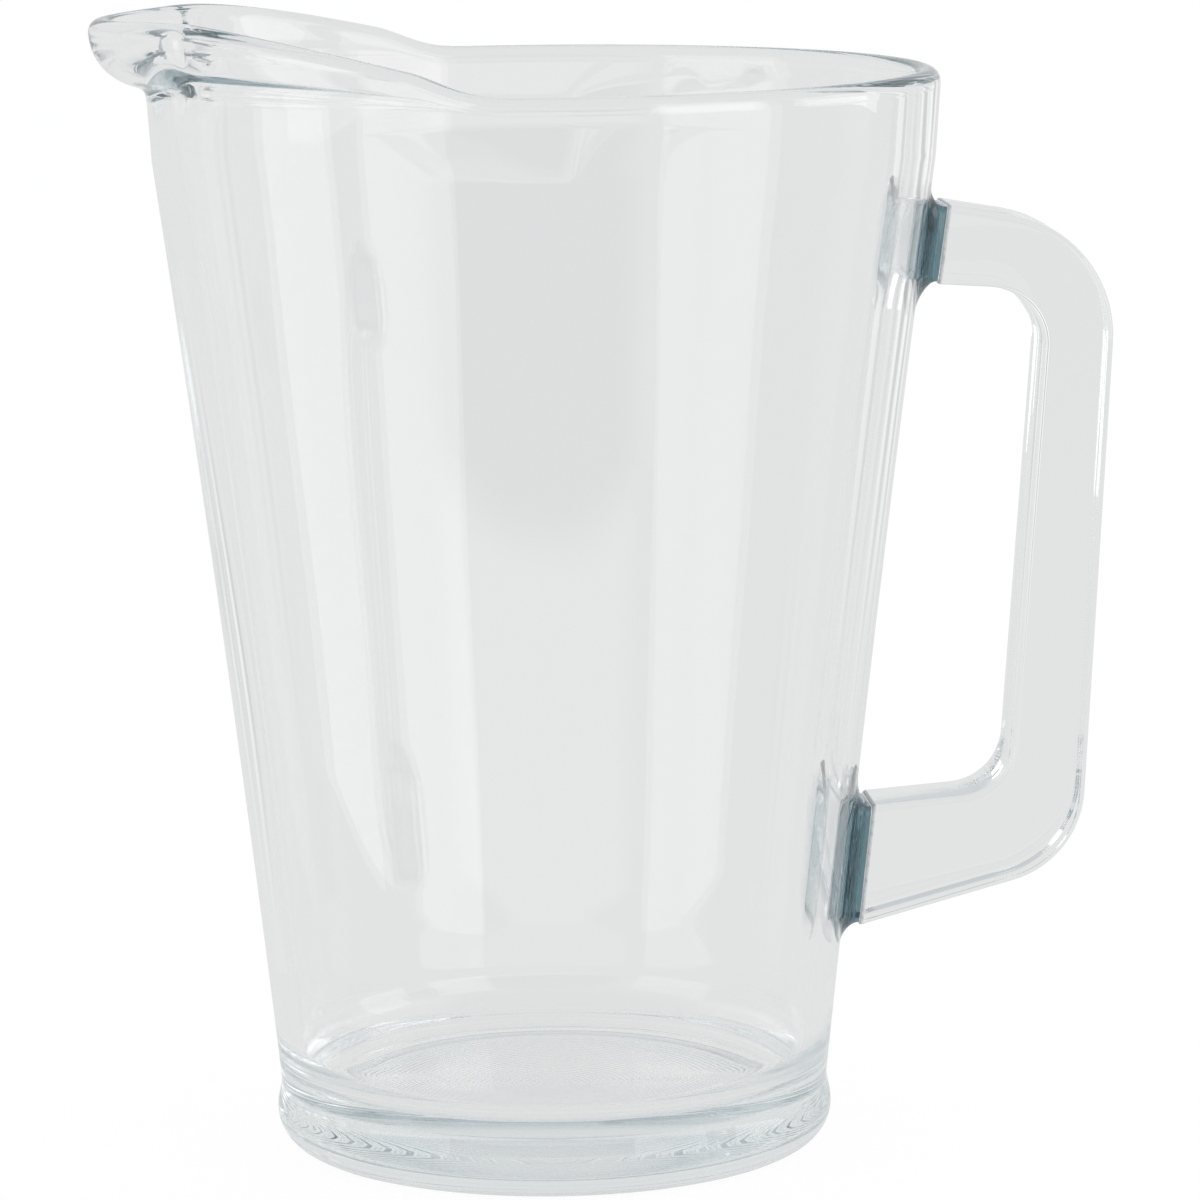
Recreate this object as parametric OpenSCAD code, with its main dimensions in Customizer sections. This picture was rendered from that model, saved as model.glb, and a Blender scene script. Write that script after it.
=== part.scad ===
// Pressed-glass beer pitcher: a tapered bowl with a pinched, beaked spout and a fused D handle.
// Origin on the bowl's axis at the table, +Z up, spout towards -X, handle towards +X.

/* [Bowl] */
// Outside diameter of the rim
rim_d = 146; // [130:1:160]
// Height of the plain rim above the table
rim_h = 201; // [185:1:220]
// Height of the rim collar, from the shoulder to the top of the rim
collar_h = 16; // [14:0.5:20]
// How far the rim stands out past the shoulder, where the collar starts
collar_flare = 0.9; // [0.2:0.1:2]
// Outside diameter at the waist above the foot
waist_d = 102.6; // [96:0.2:108]
// Height of the waist above the table
waist_h = 12.5; // [11:0.5:15]
// Thickness of the wall, which the rim rounds over
wall = 5; // [4:0.25:6]
// How far the wall bows in between waist and shoulder
wall_bow = 0.7; // [0:0.1:2]

/* [Base] */
// Outside diameter of the foot at its widest
foot_d = 104.2; // [98:0.2:110]
// Radius of the rounded heel under the foot
heel_r = 7; // [5:0.5:8]
// Height of the bowl's floor above the table
floor_h = 13.5; // [11:0.5:18]
// Radius of the corner between floor and wall inside
floor_corner_r = 12; // [8:0.5:14]
// Diameter of the recess under the base
recess_d = 80; // [60:1:84]
// Depth of the recess under the base
recess_depth = 2; // [1:0.25:3]

/* [Spout] */
// How far the crests beside the beak stand above the plain rim
spout_rise = 11.2; // [7:0.1:14]
// How far the beak's tip lies below those crests
tip_drop = 0.6; // [0:0.1:2]
// How far the beak reaches past the rim circle
spout_reach = 10.3; // [6:0.1:13]
// How far the wings beside the beak lean outwards
wing_flare = 2.2; // [0:0.1:4]
// How far below the top of the plain rim the turned collar ends and the spout starts
fold_drop = 3.2; // [2.8:0.2:5]
// How far above that level the beak's belly folds out of the wall
belly_lift = 1.2; // [0:0.1:2]
// How far above that level the wings turn out of the wall, outside
crease_lift = 1.7; // [0:0.1:3]
// How far above that level the sill inside the beak lies
sill_lift = 2.9; // [1:0.1:4]
// How far above that level the sill inside the wings lies
wing_sill = 5.9; // [1:0.1:7]
// How much thinner the beak's belly is than the wall
belly_thinning = 1.2; // [0:0.1:2]
// Depth of each pinch between the beak and a wing
pinch_depth = 1.8; // [0.5:0.1:4]
// Angle from the spout's middle to each pinch, in degrees
pinch_angle = 18; // [14:1:24]
// Angle over which a pinch fades out, in degrees
pinch_spread = 6; // [4:0.5:8]
// Angle from the spout's middle to the end of the beak, in degrees
beak_angle = 25; // [20:1:30]
// Angle from the spout's middle to where each wing meets the plain rim, in degrees
wing_angle = 82; // [70:1:88]

/* [Handle] */
// How far the outside of the grip stands off the rim circle, at the upper corner
grip_stand = 33.1; // [28:0.1:38]
// How far the handle's upper outside corner lies below the shoulder
upper_corner_drop = 15; // [12:0.5:20]
// Height of the handle's lower outside corner
lower_corner_h = 51.7; // [44:0.1:60]
// Thickness of the grip, seen from the side
grip_t = 13.6; // [11:0.2:16]
// Width of the handle across the grip
grip_w = 17; // [14:0.5:20]
// Radius of the handle's long edges
edge_r = 1.5; // [1:0.25:4]
// Height of the upper arm where it meets its pad
upper_arm_h = 14.8; // [12:0.2:17]
// Height of the lower arm where it meets its pad
lower_arm_h = 23; // [18:0.2:25]

/* [Handle pads] */
// Thickness of the upper pad between the wall and the handle
upper_pad_t = 3.1; // [2:0.1:4]
// Thickness of the lower pad between the wall and the handle
lower_pad_t = 2.7; // [2:0.1:4]
// How far the pads spread sideways on the wall
pad_side = 5; // [3:0.5:7]
// How far the pads spread towards the finger gap
pad_inside = 7.5; // [5:0.5:11]
// How far the pads spread away from the finger gap
pad_outside = 5; // [3:0.5:7]
// Depth of the groove round each seam between a pad and the handle
seam_groove = 0.5; // [0.2:0.1:1]

/* [Hidden] */
$fn = 288;
glass_colour = "lightcyan";

// Overrun of cutting tools past the faces that they cut
overrun = 1;
// Inset that keeps the lofted collar inside the turned wall where the two join
loft_inset = 0.04;

// Bowl
rim_r = rim_d / 2;
shoulder_r = rim_r - collar_flare;
waist_r = waist_d / 2;
foot_r = foot_d / 2;
rim_round = wall / 2;
shoulder_h = rim_h - collar_h;
fold_h = rim_h - fold_drop;
lip_h = rim_h - rim_round;
wall_bands = 6;
bow_share = 4;

// Outside radius of the wall at height z, bowed in a little between waist and shoulder
function wall_share(z) = (z - waist_h) / (shoulder_h - waist_h);
function wall_r(z) = let (u = wall_share(z))
    waist_r + (shoulder_r - waist_r) * u - wall_bow * bow_share * u * (1 - u);

// Bands of the wall, from low to high
function band_h(low, i) = low + (shoulder_h - low) * i / wall_bands;

// Spout, as functions of the angle from its middle
crest_angle = 22;
beak_power = 1.5;
blend_share = 0.25;
flare_fade = 45;
crease_start = 4;
crease_end = 18;
pinch_fade = 4;
outer_bow = 0.35;
inner_bow = 0.75;
function smooth(u) = let (c = min(max(u, 0), 1)) c * c * (3 - 2 * c);
function beak(a) = pow(cos(90 * min(abs(a) / beak_angle, 1)), beak_power);
function pinch(a) = pinch_depth * exp(-pow((abs(a) - pinch_angle) / pinch_spread, 2));
function reach(a) = (spout_reach - wing_flare) * beak(a)
    + wing_flare * smooth((wing_angle - abs(a)) / flare_fade);
function crest(a) = let (u = min(max((wing_angle - abs(a)) / (wing_angle - crest_angle), 0), 1))
    spout_rise * sin(90 * u) * smooth(u / blend_share);
function rise(a) = crest(a) - tip_drop * beak(a);

// Height at which the collar turns outwards: one lift in the beak, and another that fades with the wings
function wing_lift(a, full) = full > 0 ? full * (1 - exp(-crest(a) / full)) : 0;
function turn_h(a, beak_lift, full) = let (w = smooth((abs(a) - crease_start) / (crease_end - crease_start)))
    fold_h + beak_lift * (1 - w) + wing_lift(a, full) * w;

// Share of the reach at turn t: the beak swells in a round belly, the wings slope more evenly
function outward(a, t, bow) = let (b = bow + (1 - bow) * beak(a)) b * sin(t) + (1 - b) * (1 - cos(t));

// The collar's section at one angle: up the outside, over the lip and down the inside
sink = 1;
collar_steps = 4;
beak_step = 15;
lip_step = 30;
function beak_side(a, t, turn, inset, bow) = [
    rim_r - inset + reach(a) * outward(a, t, bow) - pinch(a) * pow(cos(t), pinch_fade),
    turn + (lip_h + rise(a) - turn) * (1 - cos(t))
];
function collar_side(a, turn, inset) = concat(
    [[wall_r(shoulder_h - sink) - inset, shoulder_h - sink]],
    [for (i = [0 : collar_steps - 1]) let (u = i / collar_steps)
        [shoulder_r + collar_flare * u - pinch(a) * pow(u, pinch_fade) - inset,
            shoulder_h + (turn - shoulder_h) * u]]
);
function belly_wall(a, t) = wall - belly_thinning * beak(a) * sin(2 * t);
function collar_section(a) = let (
        crease = turn_h(a, belly_lift, crease_lift),
        sill = turn_h(a, sill_lift, wing_sill),
        inner = wall - loft_inset,
        middle = beak_side(a, 90, crease, rim_round, outer_bow)
    ) concat(
        collar_side(a, crease, loft_inset),
        [for (t = [0 : beak_step : 90]) beak_side(a, t, crease, loft_inset, outer_bow)],
        [for (t = [lip_step : lip_step : 180 - lip_step])
            middle + (rim_round - loft_inset) * [cos(t), sin(t)]],
        [for (t = [90 : -beak_step : 0]) beak_side(a, t, sill, belly_wall(a, t) - loft_inset, inner_bow)],
        reversed(collar_side(a, sill, inner))
    );
function reversed(list) = [for (i = [len(list) - 1 : -1 : 0]) list[i]];

// Angles of the collar's columns: close together across the spout, wider round the rest
fine_end = 90;
fine_step = 1.8;
coarse_step = 4.5;
collar_angles = concat(
    [for (a = [-fine_end : fine_step : fine_end - fine_step]) a],
    [for (a = [fine_end : coarse_step : 360 - fine_end - coarse_step / 2]) a]
);
function signed_angle(a) = a > 180 ? a - 360 : a;

// Handle outline: outside and inside paths with rounded corners, upper pad to lower pad
upper_arm_slope = 0.174;
lower_arm_slope = 0.27;
grip_slope = 0.0604;
gap_top_slope = 0.065;
gap_bottom_slope = 0.08;
bend_steps = 10;
grip_edge_steps = 4;
upper_bend_share = 0.7;
lower_bend_share = 0.55;
inner_bend_share = 0.32;
upper_bend_r = upper_bend_share * grip_stand;
lower_bend_r = lower_bend_share * grip_stand;
inner_bend_r = inner_bend_share * grip_stand;
grip_reach = rim_r + grip_stand;
upper_corner_h = shoulder_h - upper_corner_drop;
upper_corner = [grip_reach, upper_corner_h];
lower_corner = [grip_reach - grip_slope * (upper_corner_h - lower_corner_h), lower_corner_h];

// The handle's ends lie parallel to the wall, one pad's thickness away from it
function seam_end(z, pad_t) = [wall_r(z) + pad_t, z];
function on_line(corner, slope, x) = [x, corner[1] + slope * (corner[0] - x)];
upper_seam_top = upper_corner_h + upper_arm_slope * (grip_reach - rim_r);
upper_outer_end = on_line(upper_corner, upper_arm_slope, seam_end(upper_seam_top, upper_pad_t)[0]);
upper_inner_end = seam_end(upper_outer_end[1] - upper_arm_h, upper_pad_t);
lower_seam_low = lower_corner_h - lower_arm_slope * (lower_corner[0] - wall_r(lower_corner_h));
lower_outer_end = on_line(lower_corner, -lower_arm_slope, seam_end(lower_seam_low, lower_pad_t)[0]);
lower_inner_end = seam_end(lower_outer_end[1] + lower_arm_h, lower_pad_t);
upper_gap_x = grip_reach - grip_t;
lower_gap_x = lower_corner[0] - grip_t;
upper_inner_corner = [upper_gap_x, upper_inner_end[1] - gap_top_slope * (upper_gap_x - upper_inner_end[0])];
lower_inner_corner = [lower_gap_x, lower_inner_end[1] + gap_bottom_slope * (lower_gap_x - lower_inner_end[0])];

function unit(v) = v / norm(v);
// Points of an arc of radius r that rounds corner b between a and c
function bend(a, b, c, r) = let (
        u = unit(a - b),
        v = unit(c - b),
        half = acos(u * v) / 2,
        tangent = r / tan(half),
        centre = b + unit(u + v) * r / sin(half),
        from = b + u * tangent - centre,
        to = b + v * tangent - centre,
        turn = 180 - 2 * half
    ) [for (i = [0 : bend_steps]) let (k = turn * i / bend_steps)
        centre + (from * sin(turn - k) + to * sin(k)) / sin(turn)];
function outline(start, first, second, end, first_r, second_r) = concat(
    [start, start + seam_groove * unit(first - start)],
    bend(start, first, second, first_r),
    bend(first, second, end, second_r),
    [end + seam_groove * unit(second - end), end]
);
outer_path = outline(upper_outer_end, upper_corner, lower_corner, lower_outer_end,
    upper_bend_r, lower_bend_r);
inner_path = outline(upper_inner_end, upper_inner_corner, lower_inner_corner, lower_inner_end,
    inner_bend_r, inner_bend_r);

// Rounded rectangle as a closed list of [along, across], with its four corners in turn
function rounded(along, across, r) = [
    for (q = [0 : 3]) for (i = [0 : grip_edge_steps]) let (
        t = 90 * (q + i / grip_edge_steps),
        sx = q == 0 || q == 3 ? 1 : -1,
        sy = q < 2 ? 1 : -1
    ) [sx * (along / 2 - r) + r * cos(t), sy * (across / 2 - r) + r * sin(t)]
];

// Handle pads: rings that spread from the handle's end on to the wall
pad_angles = [0, 20, 40, 60, 75];
bury = 3;
function wall_x(y, z) = sqrt(pow(wall_r(z), 2) - y * y);
function pad_ring(top, bottom, up, down, t) = let (
        span = norm(top - bottom),
        spread = 1 - cos(t)
    ) [
        for (p = rounded(span - 2 * seam_groove, grip_w - 2 * seam_groove, edge_r)) let (
            seam = (top + bottom) / 2 + unit(top - bottom) * p[0],
            z = seam[1] + spread * (p[0] > 0 ? up : down) * p[0] / (span / 2),
            y = p[1] + spread * pad_side * p[1] / (grip_w / 2)
        ) [seam[0] - sin(t) * (seam[0] - wall_x(y, z)), y, z]
    ];

// Faces of a tube of rings, closed round each ring
function tube_faces(rings, points) = [
    for (i = [0 : rings - 2]) for (k = [0 : points - 1]) let (n = (k + 1) % points)
        each [
            [i * points + k, i * points + n, (i + 1) * points + n],
            [i * points + k, (i + 1) * points + n, (i + 1) * points + k]
        ]
];
function end_face(ring, points) = [for (k = [0 : points - 1]) ring * points + k];

module capped_tube(rings) {
    points = len(rings[0]);
    count = len(rings);
    polyhedron(
        points = [for (ring = rings) each ring],
        faces = concat(
            tube_faces(count, points),
            [reversed(end_face(0, points)), end_face(count - 1, points)]
        ),
        convexity = 6
    );
}

// Outside of the bowl as a plain solid, from the table to the shoulder
module bowl_outline() {
    union() {
        polygon(concat(
            [[0, 0], [foot_r - heel_r, 0], [foot_r - heel_r, heel_r], [foot_r, heel_r]],
            [for (i = [0 : wall_bands]) let (z = band_h(waist_h, i)) [wall_r(z), z]],
            [[0, shoulder_h]]
        ));
        translate([foot_r - heel_r, heel_r])
            intersection() {
                circle(r = heel_r);
                translate([0, -heel_r]) square(heel_r);
            }
    }
}

// Inside of the bowl, open at the shoulder
module bowl_hollow() {
    corner_top = floor_h + floor_corner_r;
    corner_x = wall_r(corner_top) - wall - floor_corner_r;
    union() {
        polygon(concat(
            [[0, floor_h], [corner_x, floor_h], [corner_x, corner_top]],
            [for (i = [0 : wall_bands]) let (z = band_h(corner_top, i)) [wall_r(z) - wall, z]],
            [[wall_r(shoulder_h) - wall, shoulder_h + overrun], [0, shoulder_h + overrun]]
        ));
        translate([corner_x, corner_top])
            intersection() {
                circle(r = floor_corner_r);
                translate([0, -floor_corner_r]) square(floor_corner_r);
            }
    }
}

module turned_bowl() {
    rotate_extrude() difference() {
        bowl_outline();
        bowl_hollow();
        translate([0, -overrun]) square([recess_d / 2, recess_depth + overrun]);
    }
}

// Rim collar with the raised wings, the two pinches and the beak
module rim_collar() {
    sections = [for (a = collar_angles) collar_section(signed_angle(a))];
    columns = len(collar_angles);
    points = len(sections[0]);
    polyhedron(
        points = [
            for (i = [0 : columns - 1]) for (p = sections[i])
                [-p[0] * cos(collar_angles[i]), -p[0] * sin(collar_angles[i]), p[1]]
        ],
        faces = [
            for (i = [0 : columns - 1]) for (k = [0 : points - 1]) let (
                n = (k + 1) % points,
                j = (i + 1) % columns
            ) each [
                [i * points + k, i * points + n, j * points + n],
                [i * points + k, j * points + n, j * points + k]
            ]
        ],
        convexity = 8
    );
}

module body() {
    color(glass_colour) union() {
        turned_bowl();
        rim_collar();
    }
}

// D handle: rings along both paths, drawn in at the two ends to leave the seams' grooves
module handle() {
    last = len(outer_path) - 1;
    rings = [
        for (i = [0 : last]) let (
            o = outer_path[i],
            n = inner_path[i],
            across = unit(o - n),
            inset = i == 0 || i == last ? seam_groove : 0
        ) [
            for (p = rounded(norm(o - n) - 2 * inset, grip_w - 2 * inset, edge_r))
                let (q = (o + n) / 2 + across * p[0]) [q[0], p[1], q[1]]
        ]
    ];
    color(glass_colour) capped_tube(rings);
}

// One pad: rings from the seam to the wall, and a buried one that the wall's own shape trims
module pad(top, bottom, up, down) {
    rings = [for (t = pad_angles) pad_ring(top, bottom, up, down, t)];
    last = rings[len(rings) - 1];
    buried = [for (p = last) p - [bury, 0, 0]];
    color(glass_colour) difference() {
        capped_tube(concat(rings, [buried]));
        rotate_extrude() bowl_outline();
    }
}

module upper_handle_pad() {
    pad(upper_outer_end, upper_inner_end, pad_outside, pad_inside);
}

module lower_handle_pad() {
    pad(lower_inner_end, lower_outer_end, pad_inside, pad_outside);
}

body();
handle();
upper_handle_pad();
lower_handle_pad();
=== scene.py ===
import math
import bpy
import numpy as np
from mathutils import Matrix, Vector


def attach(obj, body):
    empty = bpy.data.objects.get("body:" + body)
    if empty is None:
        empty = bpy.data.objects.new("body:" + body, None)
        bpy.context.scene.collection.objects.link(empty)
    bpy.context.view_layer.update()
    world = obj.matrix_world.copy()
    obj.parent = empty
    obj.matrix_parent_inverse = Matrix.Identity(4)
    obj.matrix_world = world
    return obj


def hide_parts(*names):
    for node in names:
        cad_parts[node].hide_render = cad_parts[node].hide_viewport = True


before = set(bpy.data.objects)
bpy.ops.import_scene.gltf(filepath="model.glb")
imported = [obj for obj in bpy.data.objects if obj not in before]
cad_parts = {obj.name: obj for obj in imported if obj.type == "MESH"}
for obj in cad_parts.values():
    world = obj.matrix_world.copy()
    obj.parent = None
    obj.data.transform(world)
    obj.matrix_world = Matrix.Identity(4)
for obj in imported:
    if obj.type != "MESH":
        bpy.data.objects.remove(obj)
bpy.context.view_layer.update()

mm = 0.001
print("frame loaded:", ", ".join(sorted(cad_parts)))

lightBounces = 160  # light runs a long way inside the thick glass
bpy.context.scene.view_settings.view_transform = "Standard"
bpy.context.scene.cycles.max_bounces = lightBounces
bpy.context.scene.cycles.transmission_bounces = lightBounces
bpy.context.scene.cycles.glossy_bounces = lightBounces


# camera at the photograph's viewing angle
cameraSetup = {
    "distance": 1100 * mm,  # along the ground from the bowl's axis
    "height": 276.4 * mm,
    "side": 9.5 * mm,
    "pitch": 9.0,  # degrees down
    "roll": -0.57,
    "azimuth": -4.5,  # turn round the bowl's axis
    "lens": 179.3,
    "sensor": 36,
    "clipEnd": 100,
}


def setCamera(s):
    bpy.ops.object.select_all(action="DESELECT")
    bpy.ops.object.camera_add(location=(0, 0, 0))
    cam = bpy.context.object
    cam.name = "pitcherCamera"
    cam.data.lens = s["lens"]
    cam.data.sensor_width = s["sensor"]
    cam.data.clip_end = s["clipEnd"]
    turn = Matrix.Rotation(math.radians(s["azimuth"]), 4, "Z")
    place = Matrix.Translation((s["side"], -s["distance"], s["height"]))
    tilt = Matrix.Rotation(math.radians(90 - s["pitch"]), 4, "X")
    roll = Matrix.Rotation(math.radians(s["roll"]), 4, "Z")
    cam.matrix_world = turn @ place @ tilt @ roll
    bpy.context.scene.camera = cam


setCamera(cameraSetup)


# small helpers for modelling in edit mode
seedSize = 1 * mm  # plane that each piece starts from
mergeGap = 0.002 * mm


def newPiece(name):
    bpy.ops.object.select_all(action="DESELECT")
    bpy.ops.mesh.primitive_plane_add(size=seedSize, location=(0, 0, 0))
    piece = bpy.context.object
    piece.name = name
    piece.data.name = name
    return piece


def profileFromPoints(points):
    # the plane is merged to one point, which is then extruded along the outline
    bpy.ops.object.mode_set(mode="EDIT")
    bpy.ops.mesh.select_all(action="SELECT")
    bpy.ops.mesh.merge(type="CENTER")
    bpy.ops.transform.translate(value=Vector(points[0]))
    for a, b in zip(points, points[1:]):
        step = Vector(b) - Vector(a)
        bpy.ops.mesh.extrude_region_move(TRANSFORM_OT_translate={"value": step})


def closeMesh():
    bpy.ops.mesh.select_all(action="SELECT")
    bpy.ops.mesh.remove_doubles(threshold=mergeGap)
    bpy.ops.mesh.normals_make_consistent(inside=False)
    bpy.ops.object.mode_set(mode="OBJECT")


def finishPiece(piece, nodes, material, angle):
    bpy.ops.object.select_all(action="DESELECT")
    piece.select_set(True)
    bpy.context.view_layer.objects.active = piece
    bpy.ops.object.shade_smooth_by_angle(angle=math.radians(angle))
    piece.data.materials.clear()
    piece.data.materials.append(material)
    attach(piece, "root")
    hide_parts(*nodes)
    print(piece.name, "finished:", len(piece.data.polygons), "faces")


def smoothStep(u):
    c = np.clip(u, 0, 1)
    return c * c * (3 - 2 * c)


# bowl, in millimetres
bowl = {
    "rimRadius": 72.95,
    "rimHeight": 201.0,
    "collarHeight": 16.0,
    "collarFlare": 0.9,
    "waistRadius": 51.3,
    "waistHeight": 12.5,
    "wall": 5.0,
    "wallBow": 0.7,
    "footRadius": 52.1,
    "heelRadius": 7.0,
    "floorHeight": 13.5,
    "cornerWidth": 8.0,  # soft corner between the inner wall and the floor
    "cornerHeight": 9.0,
    "recessRadius": 40.0,
    "recessDepth": 2.0,
    "recessStep": 3.0,  # width over which the recess rises
    "columns": 480,
    "shadeAngle": 60,
    "rows": {  # along the section, finest where the lip turns over
        "under": 24,
        "heel": 13,
        "foot": 9,
        "wall": 19,
        "collar": 11,
        "beak": 17,
        "lip": 41,
        "corner": 13,
        "floor": 8,
    },
}
spout = {
    "rise": 11.15,
    "tipDrop": 0.6,  # the beak's tip lies a little below the wings' crests
    "reach": 8.05,  # beak's reach past the flare that it shares with the wings
    "beakPower": 1.5,
    "beakAngle": 25.0,
    "foldDrop": 3.2,
    "beakLift": 1.2,
    "pinchAngle": 18.0,
    "pinchDepth": 1.8,
    "pinchSpread": 6.0,
    "pinchFade": 4.0,  # how quickly a pinch fades, down the collar and up to the lip
    "wingFlare": 2.2,
    "wingAngle": 82.0,
    "crestAngle": 22.0,
    "blendShare": 0.25,  # end of each wing that eases into the plain rim
    "flareFade": 45.0,  # angle over which the flare dies out
    "creaseLift": 1.7,  # outside, the wings turn out above this crease
    "creaseStart": 4.0,  # angles between which the crease climbs from the beak to the wings
    "creaseEnd": 18.0,
    "sillLift": 2.9,  # inside, the beak and the wings turn out above a sill
    "wingSill": 5.9,
    "pouchThin": 1.2,  # the beak's belly is thinner than the wall
    "bowOut": 0.35,  # the beak turns out in a round belly, the wings nearly straight
    "bowIn": 0.75,
    "softenSteps": 3,
}
shoulderHeight = bowl["rimHeight"] - bowl["collarHeight"]
shoulderRadius = bowl["rimRadius"] - bowl["collarFlare"]
foldHeight = bowl["rimHeight"] - spout["foldDrop"]
lipHeight = bowl["rimHeight"] - bowl["wall"] / 2


def wallRadius(z):
    u = (z - bowl["waistHeight"]) / (shoulderHeight - bowl["waistHeight"])
    straight = bowl["waistRadius"] + (shoulderRadius - bowl["waistRadius"]) * u
    return straight - bowl["wallBow"] * 4 * u * (1 - u)


def sectionRows():
    # the outline is a list of rows: (part of the section, place along it)
    places = {part: np.linspace(0, 1, count) for part, count in bowl["rows"].items()}
    rows = [("under", u) for u in places["under"]]
    for part in ("heel", "foot", "wall", "collar"):
        rows += [(part, u) for u in places[part][:-1]]
    rows += [("beak", u) for u in places["beak"]]
    rows += [("lip", u) for u in places["lip"][1:-1]]
    rows += [("beakIn", u) for u in places["beak"][::-1]]
    for part in ("collar", "wall"):
        rows += [(part + "In", u) for u in places[part][::-1][1:]]
    rows += [("corner", u) for u in places["corner"][1:]]
    rows += [("floor", u) for u in places["floor"][::-1][1:]]
    return rows


def beakShare(a):
    u = np.clip(a / spout["beakAngle"], 0, 1)
    return np.cos(np.pi / 2 * u) ** spout["beakPower"]


def bump(a, middle, spread):
    return np.exp(-(((a - middle) / spread) ** 2))


def crestRise(a):
    u = np.clip((spout["wingAngle"] - a) / (spout["wingAngle"] - spout["crestAngle"]), 0, 1)
    return spout["rise"] * np.sin(np.pi / 2 * u) * smoothStep(u / spout["blendShare"])


def wingRise(a):
    return crestRise(a) - spout["tipDrop"] * beakShare(a)


def reachAt(a):
    flare = spout["wingFlare"] * smoothStep((spout["wingAngle"] - a) / spout["flareFade"])
    return spout["reach"] * beakShare(a) + flare


def pinchAt(a):
    return spout["pinchDepth"] * bump(a, spout["pinchAngle"], spout["pinchSpread"])


def outward(a, t, bow):
    bow = bow + (1 - bow) * beakShare(a)
    return bow * math.sin(t) + (1 - bow) * (1 - math.cos(t))


def turnOut(a, beakLift, wingLift):
    # height at which the wall turns outwards, under the beak and along the wings
    climb = spout["creaseEnd"] - spout["creaseStart"]
    wings = smoothStep((a - spout["creaseStart"]) / climb)
    lift = wingLift * (1 - np.exp(-crestRise(a) / wingLift))
    return foldHeight + beakLift * (1 - wings) + lift * wings


def creaseHeight(a):
    return turnOut(a, spout["beakLift"], spout["creaseLift"])


def sillHeight(a):
    return turnOut(a, spout["sillLift"], spout["wingSill"])


def sectionPoint(part, u, a):
    # radius and height of one row at angles a from the spout's middle
    one = np.ones_like(a)
    t = math.pi / 2 * u
    inside = part.endswith("In")
    wall = bowl["wall"]
    cornerTop = bowl["floorHeight"] + bowl["cornerHeight"]
    floorEdge = wallRadius(cornerTop) - wall - bowl["cornerWidth"]
    if part == "under":
        r = (bowl["footRadius"] - bowl["heelRadius"]) * u
        rim = smoothStep((r - bowl["recessRadius"]) / bowl["recessStep"] + 0.5)
        return r * one, bowl["recessDepth"] * (1 - rim) * one
    if part == "heel":
        r = bowl["footRadius"] - bowl["heelRadius"] * (1 - math.sin(t))
        return r * one, bowl["heelRadius"] * (1 - math.cos(t)) * one
    if part == "foot":
        z = bowl["heelRadius"] + (bowl["waistHeight"] - bowl["heelRadius"]) * u
        r = bowl["footRadius"] + (bowl["waistRadius"] - bowl["footRadius"]) * smoothStep(u)
        return r * one, z * one
    if part in ("wall", "wallIn"):
        low = cornerTop if inside else bowl["waistHeight"]
        z = low + (shoulderHeight - low) * u
        return (wallRadius(z) - (wall if inside else 0)) * one, z * one
    if part == "corner":
        r = floorEdge + bowl["cornerWidth"] * math.cos(t)
        return r * one, (cornerTop - bowl["cornerHeight"] * math.sin(t)) * one
    if part == "floor":
        return floorEdge * u * one, bowl["floorHeight"] * one
    if part == "lip":  # rounded over from outside to inside
        r, z = sectionPoint("beak", 1, a)
        over = math.pi * u
        return r - wall / 2 + wall / 2 * math.cos(over), z + wall / 2 * math.sin(over)
    fold = sillHeight(a) if inside else creaseHeight(a)
    if part in ("collar", "collarIn"):
        z = shoulderHeight + (fold - shoulderHeight) * u
        r = shoulderRadius + bowl["collarFlare"] * u - pinchAt(a) * u ** spout["pinchFade"]
        return r - (wall if inside else 0), z
    flare = reachAt(a) * outward(a, t, spout["bowIn"] if inside else spout["bowOut"])
    r = bowl["rimRadius"] + flare - pinchAt(a) * math.cos(t) ** spout["pinchFade"]
    z = fold + (lipHeight + wingRise(a) - fold) * (1 - math.cos(t))
    thick = wall - spout["pouchThin"] * beakShare(a) * math.sin(2 * t)
    return r - (thick if inside else 0), z


def softened(grid, rows, steps):
    # rounds the creases of fold and sill by easing the spout's rows along the section
    eased = ("collar", "beak", "lip", "beakIn", "collarIn")
    upper = [i for i, (part, _) in enumerate(rows) if part in eased]
    first, last = upper[0] + 1, upper[-1]
    for _ in range(steps):
        between = (grid[:, first - 1:last - 1] + grid[:, first + 1:last + 1]) / 2
        grid[:, first:last] = (grid[:, first:last] + between) / 2
    return grid


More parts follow.
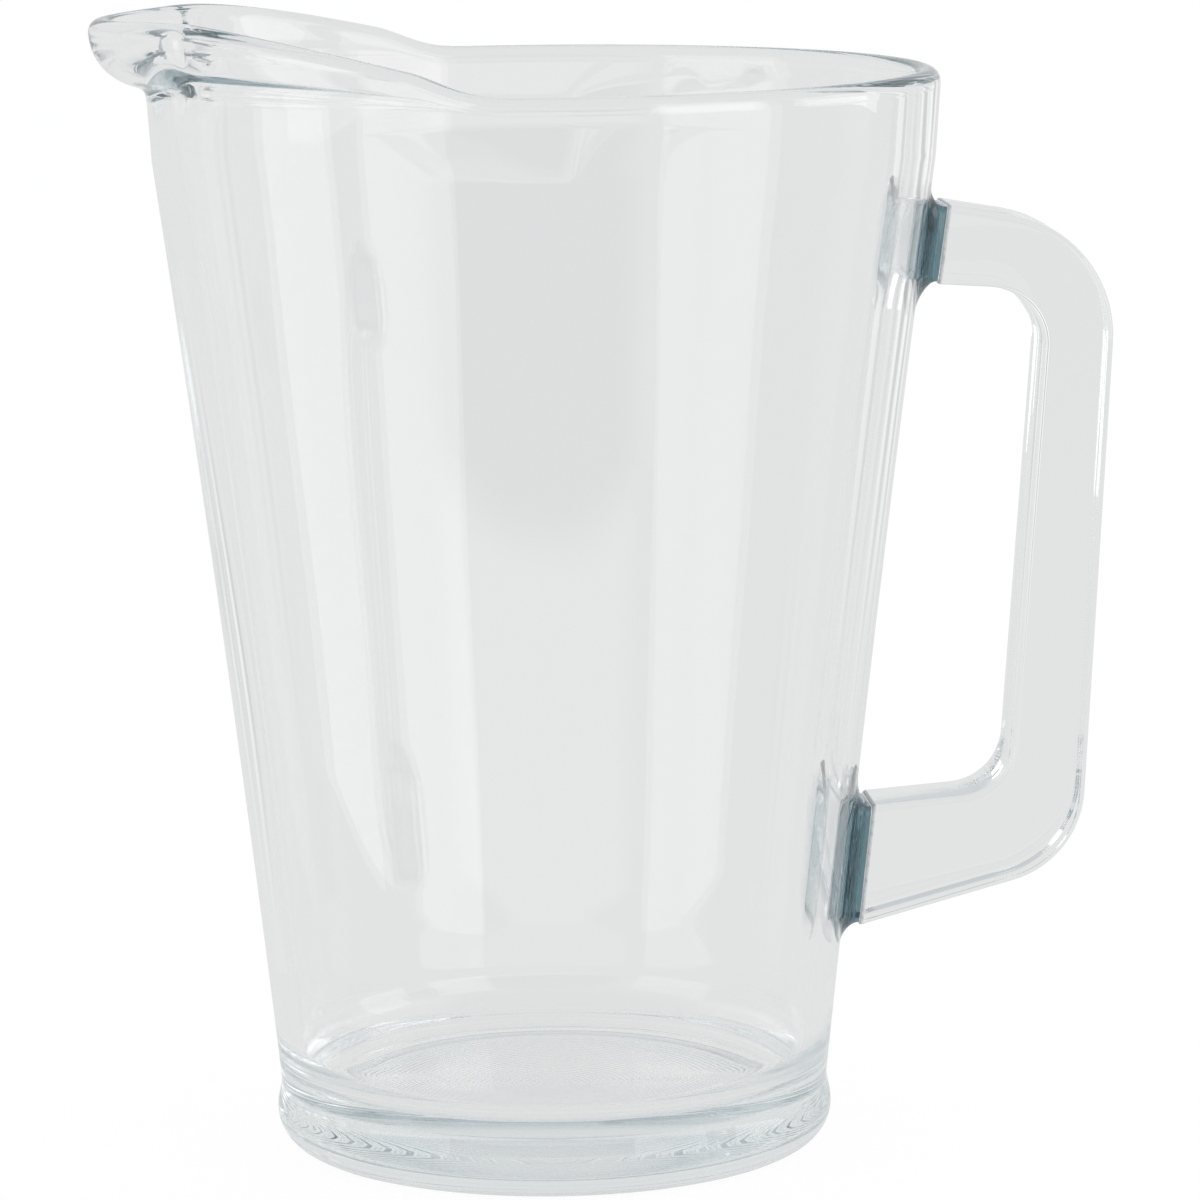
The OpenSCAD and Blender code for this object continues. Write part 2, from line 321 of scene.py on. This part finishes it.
def makeBowl(material):
    rows = sectionRows()
    columns = bowl["columns"]
    angles = np.arange(columns) * 360 / columns  # from the handle's side, +X
    fromSpout = np.abs(180 - angles)
    grid = np.zeros((columns, len(rows), 2))
    for i, (part, u) in enumerate(rows):
        grid[:, i, 0], grid[:, i, 1] = sectionPoint(part, u, fromSpout)
    plain = grid[0].copy()
    grid = softened(grid, rows, spout["softenSteps"])
    piece = newPiece("bowl")
    profileFromPoints([(r * mm, 0, z * mm) for r, z in plain])
    bpy.ops.mesh.select_all(action="SELECT")
    bpy.ops.mesh.spin(steps=columns, angle=2 * math.pi, center=(0, 0, 0), axis=(0, 0, 1))
    bpy.ops.object.mode_set(mode="OBJECT")
    # every point of the turned form goes to its place on the spout's grid
    co = np.zeros(len(piece.data.vertices) * 3)
    piece.data.vertices.foreach_get("co", co)
    co = co.reshape(-1, 3) / mm
    radius = np.hypot(co[:, 0], co[:, 1])
    around = np.degrees(np.arctan2(co[:, 1], co[:, 0]))
    column = np.round(around * columns / 360).astype(int) % columns
    aside = radius[:, None] - plain[None, :, 0]
    above = co[:, 2][:, None] - plain[None, :, 1]
    row = np.argmin(aside ** 2 + above ** 2, axis=1)
    turn = np.radians(angles[column])
    r, z = grid[column, row, 0], grid[column, row, 1]
    co = np.stack([r * np.cos(turn), r * np.sin(turn), z], axis=1) * mm
    piece.data.vertices.foreach_set("co", co.ravel())
    bpy.ops.object.mode_set(mode="EDIT")
    closeMesh()
    finishPiece(piece, ["body"], material, bowl["shadeAngle"])


# handle, in millimetres, as an outside and an inside path in the plane of the spout
handle = {
    "stand": 33.1,  # reach past the rim
    "upperCorner": 170.0,
    "lowerCorner": 51.7,
    "gripThickness": 13.6,
    "width": 17.0,
    "edge": 1.5,
    "upperBendShare": 0.7,  # bends, as shares of the stand
    "lowerBendShare": 0.55,
    "innerBendShare": 0.32,
    "upperArm": 14.8,
    "lowerArm": 23.0,
    "upperPad": 3.1,
    "lowerPad": 2.7,
    "upperArmSlope": 0.174,
    "lowerArmSlope": 0.27,
    "gripSlope": 0.0604,
    "gapTopSlope": 0.065,
    "gapBottomSlope": 0.08,
    "padSide": 5.0,
    "padInside": 7.5,
    "padOutside": 5.0,
    "padOval": 0.96,  # how nearly a pad's edge at the wall is an oval
    "padSteps": 10,
    "groove": 0.5,  # the handle's ends are rounded over at the seams, this deep
    "grooveLength": 0.7,  # and this far along the arm
    "grooveSteps": 4,
    "seam": 0.03,  # clear of the next piece, so that faces don't lie in each other
    "bendSteps": 20,
    "edgeSteps": 10,
    "shadeAngle": 40,
}


def seamEnd(z, pad):
    return Vector((wallRadius(z) + pad, z))  # the seams lie parallel to the wall


def handleEnds(h):
    reach = bowl["rimRadius"] + h["stand"]
    grip = h["upperCorner"] - h["lowerCorner"]
    upper = Vector((reach, h["upperCorner"]))
    lower = Vector((reach - h["gripSlope"] * grip, h["lowerCorner"]))
    upperOut = seamEnd(upper.y + h["upperArmSlope"] * h["stand"], h["upperPad"])
    upperOut.y = upper.y + h["upperArmSlope"] * (reach - upperOut.x)
    upperIn = seamEnd(upperOut.y - h["upperArm"], h["upperPad"])
    lowerReach = lower.x - wallRadius(lower.y)
    lowerOut = seamEnd(lower.y - h["lowerArmSlope"] * lowerReach, h["lowerPad"])
    lowerOut.y = lower.y - h["lowerArmSlope"] * (lower.x - lowerOut.x)
    lowerIn = seamEnd(lowerOut.y + h["lowerArm"], h["lowerPad"])
    upperGap = Vector((reach - h["gripThickness"], 0))
    upperGap.y = upperIn.y - h["gapTopSlope"] * (upperGap.x - upperIn.x)
    lowerGap = Vector((lower.x - h["gripThickness"], 0))
    lowerGap.y = lowerIn.y + h["gapBottomSlope"] * (lowerGap.x - lowerIn.x)
    return [upperOut, upper, lower, lowerOut], [upperIn, upperGap, lowerGap, lowerIn]


def bendPoints(a, b, c, radius, steps):
    u, v = (a - b).normalized(), (c - b).normalized()
    half = u.angle(v) / 2
    centre = b + (u + v).normalized() * radius / math.sin(half)
    start = b + u * radius / math.tan(half) - centre
    end = b + v * radius / math.tan(half) - centre
    turn = math.pi - 2 * half
    points = []
    for i in range(steps + 1):
        k = turn * i / steps
        arm = start * math.sin(turn - k) + end * math.sin(k)
        points.append(centre + arm / math.sin(turn))
    return points


def grooveRings(h):
    # pairs of place along the arm and inset, which round the handle's ends over
    rings = []
    for i in range(h["grooveSteps"] + 1):
        t = math.pi / 2 * i / h["grooveSteps"]
        rings.append((h["grooveLength"] * (1 - math.cos(t)), h["groove"] * (1 - math.sin(t))))
    return rings


def armPath(corners, firstRadius, secondRadius, h):
    a, b, c, d = corners
    start = [a + (b - a).normalized() * place for place, _ in grooveRings(h)]
    end = [d + (c - d).normalized() * place for place, _ in reversed(grooveRings(h))]
    firstBend = bendPoints(a, b, c, firstRadius, h["bendSteps"])
    secondBend = bendPoints(b, c, d, secondRadius, h["bendSteps"])
    return [*start, *firstBend, *secondBend, *end]


def roundedSection(along, across, radius, steps):
    points = []
    for q, (sx, sy) in enumerate([(1, 1), (-1, 1), (-1, -1), (1, -1)]):
        for i in range(steps + 1):
            t = math.pi / 2 * (q + i / steps)
            x = sx * (along / 2 - radius) + radius * math.cos(t)
            y = sy * (across / 2 - radius) + radius * math.sin(t)
            points.append((x, y))
    return points


def tubeOfRings(name, rings):
    # the first ring is drawn and filled, then extruded ring by ring
    piece = newPiece(name)
    profileFromPoints([Vector(p) * mm for p in rings[0]])
    bpy.ops.mesh.select_all(action="SELECT")
    bpy.ops.mesh.edge_face_add()
    count = len(rings[0])
    for ring in rings[1:]:
        bpy.ops.mesh.extrude_region_move()
        bpy.ops.object.mode_set(mode="OBJECT")
        mesh = piece.data
        for i, p in enumerate(ring):
            mesh.vertices[len(mesh.vertices) - count + i].co = Vector(p) * mm
        bpy.ops.object.mode_set(mode="EDIT")
    return piece


def seamFrostHighlightEnds(piece, seams, material):
    # the rounded ends stay a little rough where the hot glass was joined, and their pale frost is
    # also a painted highlight along the seams
    piece.data.materials.append(material)
    for face in piece.data.polygons:
        spot = Vector((face.center.x, face.center.z)) / mm
        for outer, inner in seams:
            off = abs((spot - inner).cross((outer - inner).normalized()))
            if handle["seam"] < off < handle["grooveLength"]:
                face.material_index = 1


def makeHandle(material, frost):
    h = handle
    outerEnds, innerEnds = handleEnds(h)
    upperBend, lowerBend = h["upperBendShare"] * h["stand"], h["lowerBendShare"] * h["stand"]
    innerBend = h["innerBendShare"] * h["stand"]
    outer = armPath(outerEnds, upperBend, lowerBend, h)
    inner = armPath(innerEnds, innerBend, innerBend, h)
    insets = [inset for _, inset in grooveRings(h)]
    insets = insets + [0] * (len(outer) - 2 * len(insets)) + insets[::-1]
    rings = []
    for o, n, inset in zip(outer, inner, insets):
        along, across = (o - n).length - 2 * inset, h["width"] - 2 * inset
        ring = []
        for x, y in roundedSection(along, across, h["edge"], h["edgeSteps"]):
            q = (o + n) / 2 + (o - n).normalized() * x
            ring.append((q.x, y, q.y))
        rings.append(ring)
    piece = tubeOfRings("gripHandle", rings)
    closeMesh()
    finishPiece(piece, ["handle"], material, h["shadeAngle"])
    seamFrostHighlightEnds(piece, [(outerEnds[0], innerEnds[0]), (outerEnds[3], innerEnds[3])], frost)


def padRing(top, bottom, up, down, t):
    h = handle
    span = (top - bottom).length
    spread = 1 - math.cos(t)
    along, across = span - 2 * h["groove"], h["width"] - 2 * h["groove"]
    oval = h["padOval"] * min(along, across) / 2
    edge = h["edge"] + spread * (oval - h["edge"])
    ring = []
    for x, y in roundedSection(along, across, edge, h["edgeSteps"]):
        seam = (top + bottom) / 2 + (top - bottom).normalized() * x
        z = seam.y + spread * (up if x > 0 else down) * x / (span / 2)
        side = y + spread * h["padSide"] * y / (h["width"] / 2)
        wallX = math.sqrt(wallRadius(z) ** 2 - side * side) + h["seam"]
        seamX = seam.x - h["seam"]
        ring.append((seamX - math.sin(t) * (seamX - wallX), side, z))
    return ring


def makePad(name, node, top, bottom, up, down, material):
    turns = [math.pi / 2 * i / handle["padSteps"] for i in range(handle["padSteps"] + 1)]
    piece = tubeOfRings(name, [padRing(top, bottom, up, down, t) for t in turns])
    closeMesh()
    finishPiece(piece, [node], material, handle["shadeAngle"])


# clear glass with a faint blue-green body colour and the slow waves of pressed glass
glass = {
    "tint": (0.996, 0.996, 0.996, 1),
    "ior": 1.5,
    "roughness": 0.01,
    "waveScale": 22.0,
    "waveStretch": (1, 1, 0.35),
    "waveDetail": 1,
    "bowlWaves": 0.6,
    "handleWaves": 0.08,
    "padWaves": 0.5,
    "relief": 1 * mm,
    "absorb": (0.2, 0.43, 0.49, 1),
    "density": 1.4,
    "padShadeDensity": 150.0,  # painted shade: the pads' glass absorbs far more, as dark as a fused joint that traps light
    "ringPitch": 1.2 * mm,  # fine turned rings on the underside
    "ringTop": 2.4 * mm,
    "ringDepth": 0.05,
    "frostScale": 900.0,
    "frostRoughness": 0.4,
    "frostDark": (0.7, 0.75, 0.77, 1),
    # the pale tone is partly a painted highlight, the bright line along the seams
    "paleHighlightFrost": (0.97, 0.98, 0.98, 1),
    "frostStops": (0.3, 0.5),
}


def newMaterial(name):
    material = bpy.data.materials.new(name)
    material.use_nodes = True
    return material, material.node_tree.nodes, material.node_tree.links


def makeReliefGroup():
    # slow waves all over and fine turned rings below ringTop, as one height
    group = bpy.data.node_groups.new("pressedRelief", "ShaderNodeTree")
    group.interface.new_socket("Waves", in_out="INPUT", socket_type="NodeSocketFloat")
    group.interface.new_socket("Rings", in_out="INPUT", socket_type="NodeSocketFloat")
    group.interface.new_socket("Height", in_out="OUTPUT", socket_type="NodeSocketFloat")
    nodes, links = group.nodes, group.links
    entry, result = nodes.new("NodeGroupInput"), nodes.new("NodeGroupOutput")

    def combine(operation, a, b=0.0):
        node = nodes.new("ShaderNodeMath")
        node.operation = operation
        for socket, value in zip(node.inputs, (a, b)):
            if isinstance(value, float):
                socket.default_value = value
            else:
                links.new(value, socket)
        return node.outputs["Value"]

    place = nodes.new("ShaderNodeTexCoord")
    stretch = nodes.new("ShaderNodeMapping")
    stretch.inputs["Scale"].default_value = glass["waveStretch"]
    waves = nodes.new("ShaderNodeTexNoise")
    waves.inputs["Scale"].default_value = glass["waveScale"]
    waves.inputs["Detail"].default_value = glass["waveDetail"]
    links.new(place.outputs["Object"], stretch.inputs["Vector"])
    links.new(stretch.outputs["Vector"], waves.inputs["Vector"])
    axes = nodes.new("ShaderNodeSeparateXYZ")
    links.new(place.outputs["Object"], axes.inputs["Vector"])
    flat = nodes.new("ShaderNodeMapping")  # distance from the bowl's axis
    flat.inputs["Scale"].default_value = (1, 1, 0)
    radius = nodes.new("ShaderNodeVectorMath")
    radius.operation = "LENGTH"
    links.new(place.outputs["Object"], flat.inputs["Vector"])
    links.new(flat.outputs["Vector"], radius.inputs[0])
    phase = combine("MULTIPLY", radius.outputs["Value"], 2 * math.pi / glass["ringPitch"])
    turned = combine("SINE", phase)
    under = combine("LESS_THAN", axes.outputs["Z"], glass["ringTop"])
    wavy = combine("MULTIPLY", waves.outputs["Fac"], entry.outputs["Waves"])
    ringed = combine("MULTIPLY", combine("MULTIPLY", turned, under), entry.outputs["Rings"])
    links.new(combine("ADD", wavy, ringed), result.inputs["Height"])
    return group


pressedRelief = makeReliefGroup()


def makeGlass(name, waveDepth, density, rings=0.0):
    material, nodes, links = newMaterial(name)
    shader = nodes["Principled BSDF"]
    shader.inputs["Base Color"].default_value = glass["tint"]
    shader.inputs["Roughness"].default_value = glass["roughness"]
    shader.inputs["IOR"].default_value = glass["ior"]
    shader.inputs["Transmission Weight"].default_value = 1
    pressed = nodes.new("ShaderNodeGroup")
    pressed.node_tree = pressedRelief
    pressed.inputs["Waves"].default_value = waveDepth
    pressed.inputs["Rings"].default_value = rings
    relief = nodes.new("ShaderNodeBump")
    relief.inputs["Distance"].default_value = glass["relief"]
    relief.inputs["Strength"].default_value = 1
    links.new(pressed.outputs["Height"], relief.inputs["Height"])
    links.new(relief.outputs["Normal"], shader.inputs["Normal"])
    absorb = nodes.new("ShaderNodeVolumeAbsorption")
    absorb.inputs["Color"].default_value = glass["absorb"]
    absorb.inputs["Density"].default_value = density
    links.new(absorb.outputs["Volume"], nodes["Material Output"].inputs["Volume"])
    return material


# rough seam glass, painted pale as a highlight along the handle's ends
def makeSeamFrostHighlight(name):
    material, nodes, links = newMaterial(name)
    shader = nodes["Principled BSDF"]
    shader.inputs["Roughness"].default_value = glass["frostRoughness"]
    shader.inputs["IOR"].default_value = glass["ior"]
    place = nodes.new("ShaderNodeTexCoord")
    grains = nodes.new("ShaderNodeTexNoise")
    grains.inputs["Scale"].default_value = glass["frostScale"]
    colours = nodes.new("ShaderNodeValToRGB")
    dark, pale = colours.color_ramp.elements
    dark.position, pale.position = glass["frostStops"]
    dark.color, pale.color = glass["frostDark"], glass["paleHighlightFrost"]
    links.new(place.outputs["Object"], grains.inputs["Vector"])
    links.new(grains.outputs["Fac"], colours.inputs["Fac"])
    links.new(colours.outputs["Color"], shader.inputs["Base Color"])
    return material


bowlGlass = makeGlass("clearPressedGlass", glass["bowlWaves"], glass["density"], glass["ringDepth"])
makeBowl(bowlGlass)
handleGlass = makeGlass("clearHandleGlass", glass["handleWaves"], glass["density"])
makeHandle(handleGlass, makeSeamFrostHighlight("seamFrostAndHighlight"))
# dense absorption paints the shade of the fused joints into the pads' glass
padShadeGlass = makeGlass("paintedShadePadGlass", glass["padWaves"], glass["padShadeDensity"])
outerEnds, innerEnds = handleEnds(handle)
makePad("upperPad", "upper_handle_pad", outerEnds[0], innerEnds[0],
        handle["padOutside"], handle["padInside"], padShadeGlass)
makePad("lowerPad", "lower_handle_pad", innerEnds[3], outerEnds[3],
        handle["padInside"], handle["padOutside"], padShadeGlass)


# studio: pale floor, soft panels at both sides, thin cards behind, white ground for the camera
studio = {
    "floorSize": 12.0,
    "floorColour": (0.82, 0.82, 0.82, 1),
    "floorRoughness": 0.9,
    "floorWhite": 0.9,  # share of plain white that the camera sees
    "cameraWhite": 1.05,
    "backWhite": (1, 1, 1, 1),
    "seenGrey": 0.80,  # what shows through and in the glass
    "topGrey": (0.57, 0.61, 0.63, 1),
    "topRise": (0.4, 0.8),  # directions between which the top's grey comes in
    "frontGrey": (0.26, 0.30, 0.32, 1),  # the darker room on the camera's side
    "frontLow": (1.2, 1.2, 1.2, 1),  # bright table in front, below the dark room
    "frontSide": (-0.74, -0.86),
    "frontTop": (0.085, 0.112),
    "panelDistance": 1.2,
    "panelAim": (0, 0, 0.1),
    "panels": [  # angle from the camera, height, width, length, strength
        (-66, 0.35, 0.9, 0.8, 0.9),
        (44, 0.35, 0.7, 0.8, 1.15),
        (90, 0.35, 0.7, 0.8, 1.2),
    ],
    # cards line the edges of the glass: angle, distance, width, height, strength
    "cards": [
        (34, 0.28, 0.012, 0.3, 0.72),
        (37.5, 0.28, 0.016, 0.3, 1.0),
        (41, 0.28, 0.015, 0.3, 0.5),
        (44.5, 0.28, 0.014, 0.3, 1.0),
        (-43, 0.15, 0.008, 0.15, 0.7),
        (-46.5, 0.15, 0.009, 0.15, 0.95),
        (-50, 0.15, 0.008, 0.15, 0.6),
    ],
    "cardMiddle": 0.5,  # place on a card from which it fades towards both ends
}


def makeFloor(s):
    bpy.ops.object.select_all(action="DESELECT")
    bpy.ops.mesh.primitive_plane_add(size=s["floorSize"], location=(0, 0, 0))
    floor = bpy.context.object
    floor.name = "paleFloor"
    material, nodes, links = newMaterial("paleFloor")
    surface = nodes["Principled BSDF"]
    surface.inputs["Base Color"].default_value = s["floorColour"]
    surface.inputs["Roughness"].default_value = s["floorRoughness"]
    white = nodes.new("ShaderNodeEmission")
    rays = nodes.new("ShaderNodeLightPath")
    grey = nodes.new("ShaderNodeMix")
    grey.inputs["A"].default_value = s["seenGrey"]
    grey.inputs["B"].default_value = s["cameraWhite"]
    mix = nodes.new("ShaderNodeMixShader")
    mix.inputs["Fac"].default_value = s["floorWhite"]
    links.new(rays.outputs["Is Camera Ray"], grey.inputs["Factor"])
    links.new(grey.outputs["Result"], white.inputs["Strength"])
    links.new(surface.outputs["BSDF"], mix.inputs[1])
    links.new(white.outputs["Emission"], mix.inputs[2])
    links.new(mix.outputs["Shader"], nodes["Material Output"].inputs["Surface"])
    floor.data.materials.append(material)


def makeWorld(s):
    world = bpy.data.worlds.new("studio")
    bpy.context.scene.world = world
    world.use_nodes = True
    nodes, links = world.node_tree.nodes, world.node_tree.links
    place = nodes.new("ShaderNodeTexCoord")
    axes = nodes.new("ShaderNodeSeparateXYZ")
    links.new(place.outputs["Generated"], axes.inputs["Vector"])

    def share(socket, low, high):
        node = nodes.new("ShaderNodeMapRange")
        node.interpolation_type = "SMOOTHSTEP"
        node.inputs["From Min"].default_value = low
        node.inputs["From Max"].default_value = high
        links.new(socket, node.inputs["Value"])
        return node.outputs["Result"]

    def blend(factor, a, b):
        node = nodes.new("ShaderNodeMix")
        node.data_type = "RGBA"
        links.new(factor, node.inputs["Factor"])
        for socket, value in ((node.inputs[6], a), (node.inputs[7], b)):  # colours A and B
            if isinstance(value, tuple):
                socket.default_value = value
            else:
                links.new(value, socket)
        return node.outputs[2]

    grey = (s["seenGrey"], s["seenGrey"], s["seenGrey"], 1)
    seen = blend(share(axes.outputs["Z"], *s["topRise"]), grey, s["topGrey"])
    front = blend(share(axes.outputs["Z"], *s["frontTop"]), s["frontLow"], s["frontGrey"])
    seen = blend(share(axes.outputs["Y"], *s["frontSide"]), seen, front)
    rays = nodes.new("ShaderNodeLightPath")
    seen = blend(rays.outputs["Is Camera Ray"], seen, s["backWhite"])
    links.new(seen, nodes["Background"].inputs["Color"])
    nodes["Background"].inputs["Strength"].default_value = 1


def makePanel(angle, height, width, length, strength):
    bpy.ops.object.select_all(action="DESELECT")
    bpy.ops.object.light_add(type="AREA")
    lamp = bpy.context.object
    lamp.name = "softPanel"
    a = math.radians(angle)
    spot = Vector((math.sin(a), -math.cos(a), 0)) * studio["panelDistance"]
    spot.z = height
    aim = Vector(studio["panelAim"]) - spot
    lamp.location = spot
    lamp.rotation_euler = aim.to_track_quat("-Z", "Y").to_euler()
    lamp.data.shape = "RECTANGLE"
    lamp.data.size, lamp.data.size_y = width, length
    lamp.data.energy = strength * math.pi * width * length


def makeCard(angle, distance, width, height, strength):
    bpy.ops.object.select_all(action="DESELECT")
    a = math.radians(angle)
    spot = Vector((math.sin(a), math.cos(a), 0)) * distance + Vector((0, 0, height / 2))
    bpy.ops.mesh.primitive_plane_add(size=1, location=spot, rotation=(math.pi / 2, 0, -a))
    card = bpy.context.object
    card.name = "edgeCard"
    card.scale = (width, height, 1)
    card.visible_camera = False
    card.visible_shadow = False
    card.visible_diffuse = False
    material, nodes, links = newMaterial("edgeCard")
    place = nodes.new("ShaderNodeTexCoord")
    axes = nodes.new("ShaderNodeSeparateXYZ")
    middle, away = nodes.new("ShaderNodeMath"), nodes.new("ShaderNodeMath")
    middle.operation = "SUBTRACT"
    middle.inputs[1].default_value = studio["cardMiddle"]
    away.operation = "ABSOLUTE"
    fade = nodes.new("ShaderNodeMapRange")  # from the card's own tone to the studio's
    fade.interpolation_type = "SMOOTHSTEP"
    fade.inputs["From Max"].default_value = studio["cardMiddle"]
    fade.inputs["To Min"].default_value = strength
    fade.inputs["To Max"].default_value = studio["seenGrey"]
    glow = nodes.new("ShaderNodeEmission")
    links.new(place.outputs["Generated"], axes.inputs["Vector"])
    links.new(axes.outputs["Y"], middle.inputs[0])
    links.new(middle.outputs["Value"], away.inputs[0])
    links.new(away.outputs["Value"], fade.inputs["Value"])
    links.new(fade.outputs["Result"], glow.inputs["Strength"])
    links.new(glow.outputs["Emission"], nodes["Material Output"].inputs["Surface"])
    card.data.materials.append(material)


makeFloor(studio)
makeWorld(studio)
for card in studio["cards"]:
    makeCard(*card)
for panel in studio["panels"]:
    makePanel(*panel)
print("studio ready")
